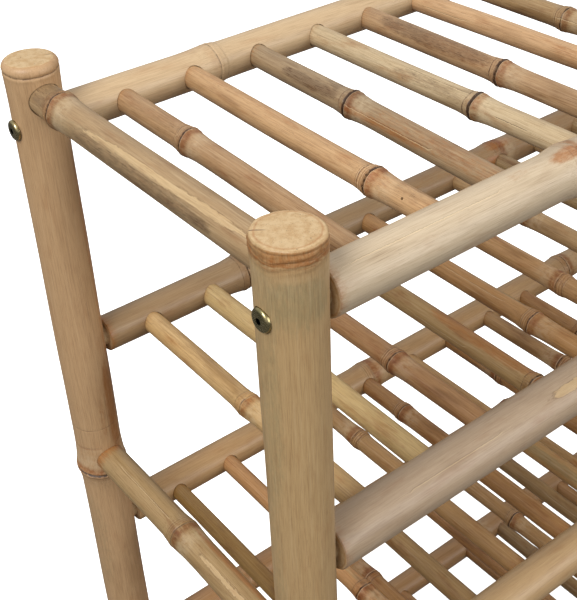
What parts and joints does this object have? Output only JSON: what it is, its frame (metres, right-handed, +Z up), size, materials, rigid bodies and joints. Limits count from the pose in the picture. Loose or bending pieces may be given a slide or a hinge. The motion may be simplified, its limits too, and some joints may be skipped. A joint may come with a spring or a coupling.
{
  "type": "slatted bamboo entryway rack",
  "caption": "Tall open entryway rack of natural bamboo culms: corner posts, slatted tiers on round rails, end bars and hex socket furniture bolts.",
  "frame": {"origin": "on the floor, in the middle of the four feet", "axes": "+X along the length to the right end, -Y towards the front, +Z up"},
  "size_m": [0.8102, 0.3322, 0.88],
  "materials": {
    "bamboo_post": "smooth peeled bamboo culm, satin, tan with fine lengthwise fibres",
    "bamboo_rail": "smooth peeled bamboo culm, satin, pale cream tan",
    "bamboo_end_bar": "smooth bamboo culm, satin, golden to olive tan",
    "bamboo_slat": "thin bamboo culm, satin, golden to orange brown with ringed nodes",
    "yellow_zinc_bolt": "yellow passivated zinc on steel, polished, low domed"
  },
  "bodies": {
    "root": {"post_front_left": "bamboo_post", "post_front_right": "bamboo_post", "post_back_left": "bamboo_post", "post_back_right": "bamboo_post", "end_bar_left_1": "bamboo_end_bar", "end_bar_left_2": "bamboo_end_bar", "end_bar_left_3": "bamboo_end_bar", "end_bar_right_1": "bamboo_end_bar", "end_bar_right_2": "bamboo_end_bar", "end_bar_right_3": "bamboo_end_bar", "rail_front_1": "bamboo_rail", "rail_front_2": "bamboo_rail", "rail_front_3": "bamboo_rail", "rail_front_4": "bamboo_rail", "rail_front_5": "bamboo_rail", "rail_back_4": "bamboo_rail", "rail_back_5": "bamboo_rail", "rail_back_with_slats_1": "bamboo_rail", "rail_back_with_slats_2": "bamboo_rail", "rail_back_with_slats_3": "bamboo_rail", "slat_4_01": "bamboo_slat", "slat_4_02": "bamboo_slat", "slat_4_03": "bamboo_slat", "slat_4_04": "bamboo_slat", "slat_4_05": "bamboo_slat", "slat_4_06": "bamboo_slat", "slat_4_07": "bamboo_slat", "slat_4_08": "bamboo_slat", "slat_4_09": "bamboo_slat", "slat_4_10": "bamboo_slat", "slat_4_11": "bamboo_slat", "slat_4_12": "bamboo_slat", "slat_5_01": "bamboo_slat", "slat_5_02": "bamboo_slat", "slat_5_03": "bamboo_slat", "slat_5_04": "bamboo_slat", "slat_5_05": "bamboo_slat", "slat_5_06": "bamboo_slat", "slat_5_07": "bamboo_slat", "slat_5_08": "bamboo_slat", "slat_5_09": "bamboo_slat", "slat_5_10": "bamboo_slat", "slat_5_11": "bamboo_slat", "slat_5_12": "bamboo_slat", "bolt_top_front_left": "yellow_zinc_bolt", "bolt_bottom_front_left": "yellow_zinc_bolt", "bolt_top_front_right": "yellow_zinc_bolt", "bolt_bottom_front_right": "yellow_zinc_bolt", "bolt_top_back_left": "yellow_zinc_bolt", "bolt_bottom_back_left": "yellow_zinc_bolt", "bolt_top_back_right": "yellow_zinc_bolt", "bolt_bottom_back_right": "yellow_zinc_bolt"}
  },
  "joints": []
}
